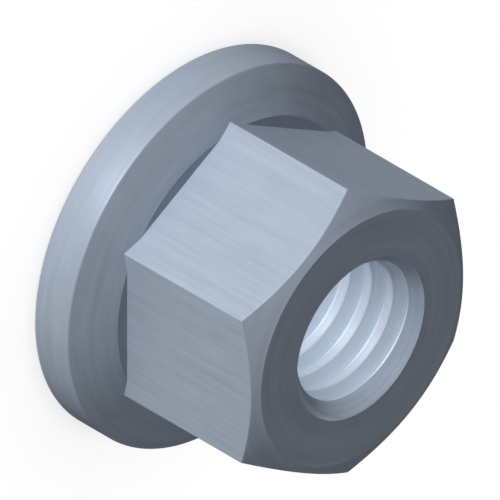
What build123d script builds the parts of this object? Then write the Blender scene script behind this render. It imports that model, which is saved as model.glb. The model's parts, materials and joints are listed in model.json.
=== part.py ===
from build123d import *
import math
import os

# Flange nut, M6, forged in one piece and then turned and tapped.
# Lengths are in millimetres and angles in degrees. The nut stands on its flange: Z is the
# axis of the thread, and the origin is the middle of the bearing face under the flange.

# Thread. The hole has the core size that a tap starts in. The fine ridge is not modelled.
thread_diameter = 6.0
thread_pitch = 1.0
countersink_angle = 90.0  # between the two sides of the cone

# Hexagon
across_flats = 10.0
nut_height = 8.3
chamfer_inset = 0.3  # from the middle of a flat in to the round top face
chamfer_angle = 30.0  # down from the level of the top face
corner_round = 0.05

# Flange
flange_diameter = 14.1
rim_height = 1.57
rim_round = 0.08
flange_slope = 25.0  # up from the level, towards the hexagon
ring_width = 0.45  # flat ring round the foot of the hexagon, at the middle of a flat

flange_radius = flange_diameter / 2
ring_radius = across_flats / 2 + ring_width
ring_height = rim_height + (flange_radius - ring_radius) * math.tan(math.radians(flange_slope))
top_face_radius = across_flats / 2 - chamfer_inset
core_radius = (thread_diameter - thread_pitch) / 2
mouth_radius = thread_diameter / 2
countersink_depth = (mouth_radius - core_radius) / math.tan(math.radians(countersink_angle / 2))


def turned(*points, rounded=0.0):
    """Solid of revolution about Z from a closed outline of (radius, height) points.

    Where a radius is given, the outermost corners of the outline are rounded to it.
    """
    with BuildPart() as solid:
        with BuildSketch(Plane.XZ) as section:
            with BuildLine():
                Polyline(*points, close=True)
            make_face()
            if rounded:
                fillet(section.vertices().group_by(Axis.X)[-1], rounded)
        revolve(axis=Axis.Z)
    return solid.part


def flange():
    """Collar with a level bearing face, an upright rim, a cone and the flat ring above it."""
    return turned(
        (0, 0),
        (flange_radius, 0),
        (flange_radius, rim_height),
        (ring_radius, ring_height),
        (0, ring_height),
        rounded=rim_round,
    )


def hexagon():
    """Hexagonal prism whose top corners are turned off to a cone, so each flat ends in a curve.

    It starts from the bearing face, and its six corners come out of the flange's cone.
    """
    with BuildPart() as prism:
        with BuildSketch() as section:
            RegularPolygon(across_flats / 2, 6, major_radius=False, rotation=30)
            fillet(section.vertices(), corner_round)
        extrude(amount=nut_height)
    cone_foot_radius = top_face_radius + nut_height / math.tan(math.radians(chamfer_angle))
    chamfer_cone = turned((0, 0), (cone_foot_radius, 0), (top_face_radius, nut_height), (0, nut_height))
    return prism.part & chamfer_cone


def threaded_hole():
    """Core hole from end to end, countersunk at each mouth to the full size of the thread."""
    return turned(
        (0, 0),
        (mouth_radius, 0),
        (core_radius, countersink_depth),
        (core_radius, nut_height - countersink_depth),
        (mouth_radius, nut_height),
        (0, nut_height),
    )


flange_nut = flange() + hexagon() - threaded_hole()
flange_nut.label = "flange_nut"

os.makedirs("parts", exist_ok=True)
export_step(flange_nut, "parts/flange_nut.step")
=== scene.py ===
import json
import math

import bmesh
import bpy
from mathutils import Matrix, Vector


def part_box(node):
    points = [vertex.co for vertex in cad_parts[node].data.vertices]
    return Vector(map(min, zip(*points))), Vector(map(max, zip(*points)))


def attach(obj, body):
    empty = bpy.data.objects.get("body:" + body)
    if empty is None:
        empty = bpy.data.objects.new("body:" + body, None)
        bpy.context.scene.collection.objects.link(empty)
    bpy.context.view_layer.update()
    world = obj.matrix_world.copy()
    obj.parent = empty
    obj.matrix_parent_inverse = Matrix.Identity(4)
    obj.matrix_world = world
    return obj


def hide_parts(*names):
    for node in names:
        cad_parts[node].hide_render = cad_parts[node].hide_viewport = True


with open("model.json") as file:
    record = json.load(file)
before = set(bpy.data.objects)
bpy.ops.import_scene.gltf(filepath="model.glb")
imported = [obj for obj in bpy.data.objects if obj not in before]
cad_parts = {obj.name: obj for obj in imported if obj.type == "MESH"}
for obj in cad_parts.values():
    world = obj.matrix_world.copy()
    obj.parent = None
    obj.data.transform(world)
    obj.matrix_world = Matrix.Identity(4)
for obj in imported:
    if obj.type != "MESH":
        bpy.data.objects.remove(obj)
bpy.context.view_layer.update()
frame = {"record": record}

# The nut is modelled in millimetres, as it was designed, and turned to metres at the end.
MM = 0.001
mounts = {mount["name"]: mount for mount in frame["record"]["mounts"]}
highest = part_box("flange_nut")[1]

# Sizes that the frame gives
NUT_HEIGHT = highest.z / MM
FLANGE_RADIUS = highest.x / MM
FLAT_RADIUS = mounts["spanner_flat"]["pos_m"][0] / MM  # from the axis to the middle of a flat
CORE_RADIUS = mounts["thread"]["dims"]["r_mm"]
COUNTERSINK_DEPTH = (NUT_HEIGHT - mounts["thread"]["dims"]["length_mm"]) / 2

# Sizes of the outline, as the solid has them
RIM_HEIGHT = 1.57
FLANGE_SLOPE = math.radians(25.0)
RING_WIDTH = 0.45  # of the flat ring round the foot of the hexagon, at the middle of a flat
CHAMFER_INSET = 0.3
CHAMFER_ANGLE = math.radians(30.0)
RIM_ROUND = 0.08
CORNER_ROUND = 0.05

RING_RADIUS = FLAT_RADIUS + RING_WIDTH
RING_HEIGHT = RIM_HEIGHT + (FLANGE_RADIUS - RING_RADIUS) * math.tan(FLANGE_SLOPE)
TOP_FACE_RADIUS = FLAT_RADIUS - CHAMFER_INSET
MOUTH_RADIUS = CORE_RADIUS + COUNTERSINK_DEPTH  # the countersink's side is at 45 degrees

# Thread
PITCH = 1.0
ROOT_INSET = 0.015  # from the mouth, whose edge stays a whole circle
ROOT_RADIUS = MOUTH_RADIUS - ROOT_INSET
ROOT_FLAT = PITCH / 8
FLANK_ANGLE = math.radians(30.0)  # from a plane across the axis
THREAD_STEPS = 96  # round one turn
SPARE_TURNS = 4  # of the tap, past the ends of the nut

# Mesh
SIDES = 6
STEPS = 192  # round the nut
ROUND_STEPS = 4  # across a rounded edge
NEAR = 0.002  # points closer than this are one
ORDER_ALONG = Vector((0.2, 0.3, 1.0))  # the slanting line that puts points in order
ON_CUT = NEAR / 10  # points closer than this to a cut lie on it
LEVEL = math.radians(0.1)  # faces that turn by less than this are one
ALIKE = math.radians(12.5)  # turns that differ by less than this are of one kind
SHARP_TURN = math.radians(25.0)  # an edge that turns by more than this is not shaded smooth

# Flat map of the surface
MAP_NAME = "OFBake"  # the export keeps a map of this name
MAP_TURN = math.radians(30.0)  # small enough that no turn of the thread lies over another
MAP_MARGIN = 0.002  # between the islands of the map, as a share of its width

# Finishes, by the place that each has among the nut's materials. A face that is given no
# finish is turned.
TURNED, FORGED, TAPPED = range(3)

# Satin zinc plating
PLATE_COLOUR = (0.436, 0.507, 0.610, 1)
RING_SHADE_COLOUR = (0.436, 0.485, 0.560, 1)  # painted shade: less blue on the ring at the hexagon's foot, to offset the light that the flats bounce onto it
CUT_COLOUR_AND_LIGHT = (0.58, 0.64, 0.71, 1)  # in the thread: the tone of steel under thin plating, and painted light that brightens flanks facing away from the lamps
EDGE_TINT = (0.3, 0.3, 0.3, 1)  # a matt surface mirrors little at a grazing angle
PLATE_ROUGHNESS = 0.5
CUT_ROUGHNESS = 0.45
METALLIC = 0.21

# How unevenness changes a surface's tone, as a share of it, and its height in millimetres
MARK_TONE, MARK_DEPTH = 0.30, 0.008
GRAIN_TONE, GRAIN_DEPTH = 0.06, 0.002
MOTTLE_TONE = 0.10
NOISE_MIDDLE = 0.5

# How fine it is: spots in each millimetre, finer layers, and each layer's strength beside the last
MARK_LAYERS = (1.0, 3.0, 0.6)
LINE_LAYERS = (1.0, 3.0, 0.5)
MOTTLE_LAYERS = (0.9, 2.0, 0.5)
GRAIN_LAYERS = (14.0, 2.0, 0.5)

LATHE_FEED = 0.16  # from one mark to the next
TAP_FEED = 0.05
MARK_LEAN = 0.6  # how much height counts beside radius, so that rims and cones have marks too
MARK_FADE = 0.2  # how much a mark changes with each millimetre that it runs
DIE_LINES = (5.0, 5.0, 0.25)  # lines in each millimetre, across and along the nut

# Photograph: where the middle of the bearing face lies in its 500 px frame, and its scale
FRAME_PX = 500
PX_PER_MM = 30.073
BEARING_CENTRE_PX = Vector((184.27, 236.63))
AXIS_TURN = math.radians(30.0)  # the thread's axis points this far below level, to the right
CAMERA_BACK = Vector((1, -1, 1)).normalized()  # from the nut towards the camera

# Light. The background is pure white where it is seen, and adds little to the light. The two
# lamps on the nut cast no shadow, as none lies on it in the photograph. A lamp's direction is
# the one from the nut towards the lamp.
BACKGROUND = 1.0
FULL_LIGHT = 1.0  # shows a facing surface as its own colour
AMBIENT = 0.04
KEY_TOWARDS, KEY_STRENGTH = (0.618, -0.785, -0.105), 0.85
FILL_TOWARDS, FILL_STRENGTH = (-0.566, 0.566, -0.6), 0.6
SUN_WIDTH = math.radians(10.0)
FLOOR_LIGHT_WIDTH = math.radians(80.0)
FLOOR_SHADE = 0.4  # how much darker the floor is where no light from above reaches it

# Places of the camera and the floor, in metres
CAMERA_DISTANCE = 0.2
CAMERA_NEAREST, CAMERA_FURTHEST = 0.001, 10.0
FLOOR_DROP = 0.01 * MM
FLOOR_SIZE = 1.0


# Shapes

def tidy(form):
    """Welds doubles, makes each level stretch one face and points every face outwards.

    The points are put in order first, so that every run welds them alike.
    """
    form.verts.sort(key=lambda vert: vert.co.dot(ORDER_ALONG))
    bmesh.ops.remove_doubles(form, verts=form.verts, dist=NEAR)
    bmesh.ops.dissolve_degenerate(form, edges=form.edges, dist=NEAR)
    bmesh.ops.dissolve_limit(
        form, angle_limit=LEVEL, verts=form.verts, edges=form.edges, delimit={"MATERIAL"}
    )
    bmesh.ops.recalc_face_normals(form, faces=form.faces)


def spun(outline, turns=1, steps=STEPS, rise=0.0):
    """Form from an outline of (radius, height) points, turned about Z and raised each turn."""
    form = bmesh.new()
    points = [form.verts.new((radius, 0, height)) for radius, height in outline]
    lines = [form.edges.new(ends) for ends in zip(points, points[1:])]
    bmesh.ops.spin(
        form, geom=points + lines, cent=(0, 0, 0), axis=(0, 0, 1), dvec=(0, 0, rise / steps),
        angle=turns * math.tau, steps=turns * steps, use_merge=not rise,
    )
    tidy(form)
    return form


def slice_off(form, point, outwards):
    """Cuts away what lies beyond a plane and closes the cut. Returns the faces that close it."""
    cut = bmesh.ops.bisect_plane(
        form, geom=form.verts[:] + form.edges[:] + form.faces[:], dist=ON_CUT,
        plane_co=point, plane_no=outwards, clear_outer=True,
    )
    rim = [part for part in cut["geom_cut"] if isinstance(part, bmesh.types.BMEdge)]
    return bmesh.ops.contextual_create(form, geom=rim)["faces"]


def round_edges(form, edges, radius):
    """Rounds edges that all turn by about the same angle to one radius."""
    turn = max(edge.calc_face_angle() for edge in edges)
    bmesh.ops.bevel(
        form, geom=edges, offset=radius * math.tan(turn / 2), offset_type="OFFSET", affect="EDGES",
        segments=ROUND_STEPS, profile=0.5, material=-1,
    )


def circle_edges(form, radius, height):
    """Edges of the form that lie on a circle round the axis."""
    def on_circle(end):
        return math.dist((end.co.xy.length, end.co.z), (radius, height)) < NEAR

    return [edge for edge in form.edges if all(on_circle(end) for end in edge.verts)]


def flange():
    """Collar with an upright rim, a cone and the flat ring, solid to the axis."""
    form = spun([
        (0, 0),
        (FLANGE_RADIUS, 0),
        (FLANGE_RADIUS, RIM_HEIGHT),
        (RING_RADIUS, RING_HEIGHT),
        (0, RING_HEIGHT),
    ])
    for height in (0, RIM_HEIGHT):
        round_edges(form, circle_edges(form, FLANGE_RADIUS, height), RIM_ROUND)
    return form


def hexagon():
    """Chamfered bar with six flats cut on it. Its foot is buried in the flange."""
    foot = RIM_HEIGHT / 2
    bar_radius = FLANGE_RADIUS
    chamfer_foot = NUT_HEIGHT - (bar_radius - TOP_FACE_RADIUS) * math.tan(CHAMFER_ANGLE)
    form = spun([
        (0, foot),
        (bar_radius, foot),
        (bar_radius, chamfer_foot),
        (TOP_FACE_RADIUS, NUT_HEIGHT),
        (0, NUT_HEIGHT),
    ])
    for side in range(SIDES):
        outwards = Matrix.Rotation(side * math.tau / SIDES, 3, "Z") @ Vector((1, 0, 0))
        for flat in slice_off(form, outwards * FLAT_RADIUS, outwards):
            flat.material_index = FORGED
    tidy(form)
    corner_turn = math.tau / SIDES
    corners = [edge for edge in form.edges if abs(edge.calc_face_angle() - corner_turn) < ALIKE]
    round_edges(form, corners, CORNER_ROUND)
    return form


def tap():
    """The room that a tap cuts: a right-handed screw that sticks out of both ends of the nut."""
    flank = (ROOT_RADIUS - CORE_RADIUS) * math.tan(FLANK_ANGLE)
    turns = math.ceil(NUT_HEIGHT / PITCH) + SPARE_TURNS
    start = (NUT_HEIGHT - turns * PITCH) / 2
    root_start = start + (PITCH - ROOT_FLAT) / 2
    root_end = start + (PITCH + ROOT_FLAT) / 2
    form = spun([
        (CORE_RADIUS, start),
        (CORE_RADIUS, root_start - flank),
        (ROOT_RADIUS, root_start),
        (ROOT_RADIUS, root_end),
        (CORE_RADIUS, root_end + flank),
        (CORE_RADIUS, start + PITCH),
    ], turns, THREAD_STEPS, rise=PITCH)
    # Half a step round, so that its edges lie between those of the countersinks
    half_step = Matrix.Rotation(math.tau / STEPS / 2, 3, "Z")
    bmesh.ops.rotate(form, verts=form.verts, cent=(0, 0, 0), matrix=half_step)
    slice_off(form, (0, 0, -PITCH / 2), (0, 0, -1))
    slice_off(form, (0, 0, NUT_HEIGHT + PITCH / 2), (0, 0, 1))
    tidy(form)
    for face in form.faces:
        face.material_index = TAPPED
    return form


def countersink(mouth_height, inwards):
    """Cone with its side at 45 degrees that opens one end of the hole.

    Its point lies as far inside the nut as its base lies outside, so the base is twice as
    wide as the mouth.
    """
    point = mouth_height + inwards * MOUTH_RADIUS
    base = mouth_height - inwards * MOUTH_RADIUS
    return spun([(0, point), (2 * MOUTH_RADIUS, base), (0, base)])


def piece(name, form, finishes):
    """Object made from a form, which is used up. A finish's place in the list is its index."""
    mesh = bpy.data.meshes.new(name)
    form.to_mesh(mesh)
    form.free()
    for finish in finishes:
        mesh.materials.append(finish)
    made = bpy.data.objects.new(name, mesh)
    bpy.context.scene.collection.objects.link(made)
    return made


def combine(body, tool, operation):
    """Adds a form to the body or cuts it away, and keeps only the body."""
    step = body.modifiers.new(operation, "BOOLEAN")
    step.operation = operation
    step.solver = "EXACT"
    step.object = tool
    combined = body.evaluated_get(bpy.context.evaluated_depsgraph_get())
    body.data = bpy.data.meshes.new_from_object(combined)
    body.modifiers.clear()
    bpy.data.objects.remove(tool)


def lay_out(body):
    """Gives the body a flat map on which no two parts of its surface share a place."""
    body.data.uv_layers.new(name=MAP_NAME)
    # The body alone is selected, because every selected mesh would be edited with it
    bpy.ops.object.select_all(action="DESELECT")
    body.select_set(True)
    bpy.context.view_layer.objects.active = body
    bpy.ops.object.mode_set(mode="EDIT")
    bpy.ops.mesh.select_all(action="SELECT")
    bpy.ops.uv.smart_project(angle_limit=MAP_TURN, island_margin=MAP_MARGIN)
    bpy.ops.object.mode_set(mode="OBJECT")


def flange_nut():
    """The whole nut, welded into one closed mesh with a flat map."""
    finishes = [turned_steel(), forged_steel(), tapped_steel()]
    nut = piece("nut", flange(), finishes)
    combine(nut, piece("hexagon", hexagon(), finishes), "UNION")
    combine(nut, piece("tap", tap(), finishes), "DIFFERENCE")
    combine(nut, piece("bottom_countersink", countersink(0, 1), finishes), "DIFFERENCE")
    combine(nut, piece("top_countersink", countersink(NUT_HEIGHT, -1), finishes), "DIFFERENCE")
    form = bmesh.new()
    form.from_mesh(nut.data)
    tidy(form)
    form.to_mesh(nut.data)
    form.free()
    nut.data.name = "nut"
    lay_out(nut)
    nut.data.transform(Matrix.Scale(MM, 4))
    nut.data.shade_smooth()
    nut.data.set_sharp_from_angle(angle=SHARP_TURN)
    level_shading = nut.modifiers.new("level_shading", "WEIGHTED_NORMAL")
    level_shading.keep_sharp = True
    return nut


# Shader nodes

def node(tree, kind, inputs, **settings):
    """Adds a shader node. An input that is a socket is linked, and any other is set."""
    made = tree.nodes.new("ShaderNode" + kind)
    for setting, value in settings.items():
        setattr(made, setting, value)
    for socket, value in inputs.items():
        if isinstance(value, bpy.types.NodeSocket):
            tree.links.new(value, made.inputs[socket])
        else:
            made.inputs[socket].default_value = value
    return made


def reckon(tree, operation, *values):
    """Result of one step of arithmetic on sockets or plain numbers."""
    return node(tree, "Math", dict(enumerate(values)), operation=operation).outputs[0]


def stretch(tree, vector, by):
    """Vector with each of its parts multiplied."""
    return node(tree, "VectorMath", {0: vector, 1: by}, operation="MULTIPLY").outputs[0]


# A Mix node has sockets for every kind of data: the numbers of its two values and its result
MIX_SOCKETS = {"FLOAT": (2, 3, 0), "RGBA": (6, 7, 2)}


def blend(tree, kind, share, first, second):
    """Number or colour that goes from the first to the second as the share grows."""
    first_socket, second_socket, result = MIX_SOCKETS[kind]
    inputs = {0: share, first_socket: first, second_socket: second}
    return node(tree, "Mix", inputs, data_type=kind).outputs[result]


def noise(tree, place, layers):
    """Unevenness, from 0 to 1, as fine as its layers say."""
    scale, detail, strength = layers
    inputs = {"Vector": place, "Scale": scale, "Detail": detail, "Roughness": strength}
    return node(tree, "TexNoise", inputs).outputs["Fac"]


def swing(tree, start, unevenness, share):
    """Number that an unevenness raises and lowers, by up to half the share."""
    off_middle = reckon(tree, "SUBTRACT", unevenness, NOISE_MIDDLE)
    return reckon(tree, "MULTIPLY_ADD", off_middle, share, start)


def new_group(name, inputs, outputs):
    """Empty node group. Sockets are given by name and kind. Returns it with its two ends."""
    tree = bpy.data.node_groups.new(name, "ShaderNodeTree")
    for in_out, sockets in (("INPUT", inputs), ("OUTPUT", outputs)):
        for label, kind in sockets.items():
            tree.interface.new_socket(label, in_out=in_out, socket_type="NodeSocket" + kind)
    given = tree.nodes.new("NodeGroupInput").outputs
    result = tree.nodes.new("NodeGroupOutput").inputs
    return tree, given, result


# Finishes

def tool_marks():
    """Fine uneven lines round the axis, as a lathe or a tap leaves them.

    The position and the feed are in millimetres.
    """
    tree, given, result = new_group(
        "tool_marks", {"Position": "Vector", "Feed": "Float"}, {"Marks": "Float"}
    )
    across = stretch(tree, given["Position"], (1, 1, 0))
    radius = node(tree, "VectorMath", {0: across}, operation="LENGTH").outputs["Value"]
    height = node(tree, "SeparateXYZ", {0: given["Position"]}).outputs["Z"]
    along = reckon(tree, "MULTIPLY_ADD", height, MARK_LEAN, radius)
    count = reckon(tree, "DIVIDE", along, given["Feed"])
    fade = node(tree, "SeparateXYZ", {0: stretch(tree, across, (MARK_FADE, MARK_FADE, 0))}).outputs
    drift = node(tree, "CombineXYZ", {"X": count, "Y": fade["X"], "Z": fade["Y"]}).outputs[0]
    tree.links.new(noise(tree, drift, MARK_LAYERS), result["Marks"])
    return tree


def plating():
    """Thin satin plating: a faint mottle, a fine grain, and the tool's marks showing through.

    What is brighter is smoother too. The height is in millimetres.
    """
    tree, given, result = new_group(
        "plating",
        {"Position": "Vector", "Marks": "Float", "Color": "Color", "Roughness": "Float"},
        {"Color": "Color", "Roughness": "Float", "Height": "Float"},
    )
    mottle = noise(tree, given["Position"], MOTTLE_LAYERS)
    grain = noise(tree, given["Position"], GRAIN_LAYERS)
    tone = swing(tree, 1.0, given["Marks"], MARK_TONE)
    tone = swing(tree, tone, mottle, MOTTLE_TONE)
    tone = swing(tree, tone, grain, GRAIN_TONE)
    height = swing(tree, 0.0, given["Marks"], MARK_DEPTH)
    height = swing(tree, height, grain, GRAIN_DEPTH)
    colour = node(tree, "VectorMath", {0: given["Color"], "Scale": tone}, operation="SCALE")
    roughness = reckon(tree, "SUBTRACT", reckon(tree, "ADD", given["Roughness"], 1.0), tone)
    tree.links.new(colour.outputs[0], result["Color"])
    tree.links.new(roughness, result["Roughness"])
    tree.links.new(height, result["Height"])
    return tree


TOOL_MARKS = tool_marks()
PLATING = plating()


def new_steel(name):
    """New material. Returns it with its tree and the place on the nut in millimetres."""
    material = bpy.data.materials.new(name)
    material.use_nodes = True
    tree = material.node_tree
    metres = node(tree, "TexCoord", {}).outputs["Object"]
    return material, tree, stretch(tree, metres, (1 / MM, 1 / MM, 1 / MM))


def marks_of(tree, position, feed):
    """Marks of a tool that moves on by its feed from one line to the next."""
    inputs = {"Position": position, "Feed": feed}
    return node(tree, "Group", inputs, node_tree=TOOL_MARKS).outputs["Marks"]


def plate(tree, position, marks, colour, roughness):
    """Covers a material with the plating, over the marks that its tool left."""
    coat = node(tree, "Group", {
        "Position": position, "Marks": marks, "Color": colour, "Roughness": roughness
    }, node_tree=PLATING).outputs
    relief = node(tree, "Bump", {"Height": coat["Height"], "Distance": MM})
    surface = tree.nodes["Principled BSDF"]
    surface.inputs["Metallic"].default_value = METALLIC
    surface.inputs["Specular IOR Level"].default_value = 0.0
    surface.inputs["Specular Tint"].default_value = EDGE_TINT
    tree.links.new(coat["Color"], surface.inputs["Base Color"])
    tree.links.new(coat["Roughness"], surface.inputs["Roughness"])
    tree.links.new(relief.outputs["Normal"], surface.inputs["Normal"])


def turned_steel():
    """Faces that the lathe leaves: the ends, the chamfer, the countersinks and the flange."""
    material, tree, position = new_steel("turned_steel")
    height = node(tree, "SeparateXYZ", {0: position}).outputs["Z"]
    # Painted shade: the ring at the hexagon's foot gets a less blue colour, to offset the light
    # bounced onto it from the flats
    ring_shade_mask = reckon(tree, "COMPARE", height, RING_HEIGHT, NEAR)
    colour = blend(tree, "RGBA", ring_shade_mask, PLATE_COLOUR, RING_SHADE_COLOUR)
    plate(tree, position, marks_of(tree, position, LATHE_FEED), colour, PLATE_ROUGHNESS)
    return material


def forged_steel():
    """Flats, with faint lines along the nut where the die let go of it."""
    material, tree, position = new_steel("forged_steel")
    lines = noise(tree, stretch(tree, position, DIE_LINES), LINE_LAYERS)
    plate(tree, position, lines, PLATE_COLOUR, PLATE_ROUGHNESS)
    return material


def tapped_steel():
    """Thread, brighter than the rest partly as painted light, with fine marks that follow its
    helix.
    """
    material, tree, position = new_steel("tapped_steel")
    place = node(tree, "SeparateXYZ", {0: position}).outputs
    turn = reckon(tree, "ARCTAN2", place["Y"], place["X"])
    climb = reckon(tree, "MULTIPLY", turn, PITCH / math.tau)
    within_turn = reckon(tree, "WRAP", reckon(tree, "SUBTRACT", place["Z"], climb), PITCH, 0.0)
    parts = {"X": place["X"], "Y": place["Y"], "Z": within_turn}
    unwound = node(tree, "CombineXYZ", parts).outputs[0]
    # Part of the thread's brightness is painted light, which makes up for flanks that face away
    # from the lamps
    plate(tree, position, marks_of(tree, unwound, TAP_FEED), CUT_COLOUR_AND_LIGHT, CUT_ROUGHNESS)
    return material


# Studio

def studio_strength(tree, in_light, seen):
    """Strength that is one value as light and another for what sees or mirrors it."""
    ray = node(tree, "LightPath", {}).outputs
    mirrored = reckon(tree, "MAXIMUM", ray["Is Glossy Ray"], ray["Is Transmission Ray"])
    looking = reckon(tree, "MAXIMUM", ray["Is Camera Ray"], mirrored)
    return blend(tree, "FLOAT", looking, in_light, seen)


def backdrop():
    """White surroundings, seen but almost without light."""
    world = bpy.data.worlds.new("studio")
    world.use_nodes = True
    tree = world.node_tree
    background = tree.nodes["Background"]
    background.inputs["Color"].default_value = (1, 1, 1, 1)
    tree.links.new(studio_strength(tree, AMBIENT, BACKGROUND), background.inputs["Strength"])
    bpy.context.scene.world = world


def pale_floor():
    """Floor just under the nut. It shows white where nothing shades it.

    To the nut it gives the same faint light as the rest of the studio.
    """
    form = bmesh.new()
    bmesh.ops.create_grid(form, x_segments=1, y_segments=1, size=FLOOR_SIZE / 2)
    bmesh.ops.translate(form, verts=form.verts, vec=(0, 0, -FLOOR_DROP))
    material = bpy.data.materials.new("pale_floor")
    material.use_nodes = True
    tree = material.node_tree
    surface = tree.nodes["Principled BSDF"]
    surface.inputs["Roughness"].default_value = 1.0
    surface.inputs["Specular IOR Level"].default_value = 0.0
    surface.inputs["Emission Color"].default_value = (1, 1, 1, 1)
    tree.links.new(studio_strength(tree, 0.0, FLOOR_SHADE), surface.inputs["Base Color"])
    glow = studio_strength(tree, AMBIENT, BACKGROUND - FLOOR_SHADE)
    tree.links.new(glow, surface.inputs["Emission Strength"])
    floor = piece("floor", form, [material])
    return floor


def sun(name, towards, strength, width=SUN_WIDTH, shadow=False):
    """Even light from one side. At strength 1 it shows a facing surface as its own colour."""
    lamp = bpy.data.lights.new(name, "SUN")
    lamp.energy = strength * math.pi
    lamp.angle = width
    lamp.use_shadow = shadow
    made = bpy.data.objects.new(name, lamp)
    made.rotation_mode = "QUATERNION"
    made.rotation_quaternion = Vector(towards).to_track_quat("Z", "Y")
    bpy.context.scene.collection.objects.link(made)
    return made


def floor_light(floor):
    """Wide light from above that reaches only the floor, so that the nut shades it softly."""
    strength = FULL_LIGHT - AMBIENT
    made = sun("floor_light", (0, 0, 1), strength, width=FLOOR_LIGHT_WIDTH, shadow=True)
    lit = bpy.data.collections.new("lit_by_floor_light")
    lit.objects.link(floor)
    made.light_linking.receiver_collection = lit


def camera():
    """Parallel view along the diagonal of a cube, turned so that the thread points down right."""
    data = bpy.data.cameras.new("camera")
    data.type = "ORTHO"
    data.ortho_scale = FRAME_PX / PX_PER_MM * MM
    data.clip_start, data.clip_end = CAMERA_NEAREST, CAMERA_FURTHEST
    axis = Vector((0, 0, 1))
    seen_axis = (axis - CAMERA_BACK * axis.dot(CAMERA_BACK)).normalized()
    right = Matrix.Rotation(AXIS_TURN, 3, CAMERA_BACK) @ seen_axis
    up = CAMERA_BACK.cross(right)
    offset = BEARING_CENTRE_PX - Vector((FRAME_PX / 2, FRAME_PX / 2))
    aim = (-offset.x * right + offset.y * up) / PX_PER_MM * MM
    turn = Matrix((right, up, CAMERA_BACK)).transposed().to_4x4()
    made = bpy.data.objects.new("camera", data)
    made.matrix_world = Matrix.Translation(aim + CAMERA_BACK * CAMERA_DISTANCE) @ turn
    bpy.context.scene.collection.objects.link(made)
    bpy.context.scene.camera = made


nut = flange_nut()
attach(nut, "root")
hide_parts("flange_nut")
backdrop()
floor_light(pale_floor())
sun("key", KEY_TOWARDS, KEY_STRENGTH)
sun("fill", FILL_TOWARDS, FILL_STRENGTH)
camera()
bpy.context.scene.view_settings.view_transform = "Standard"
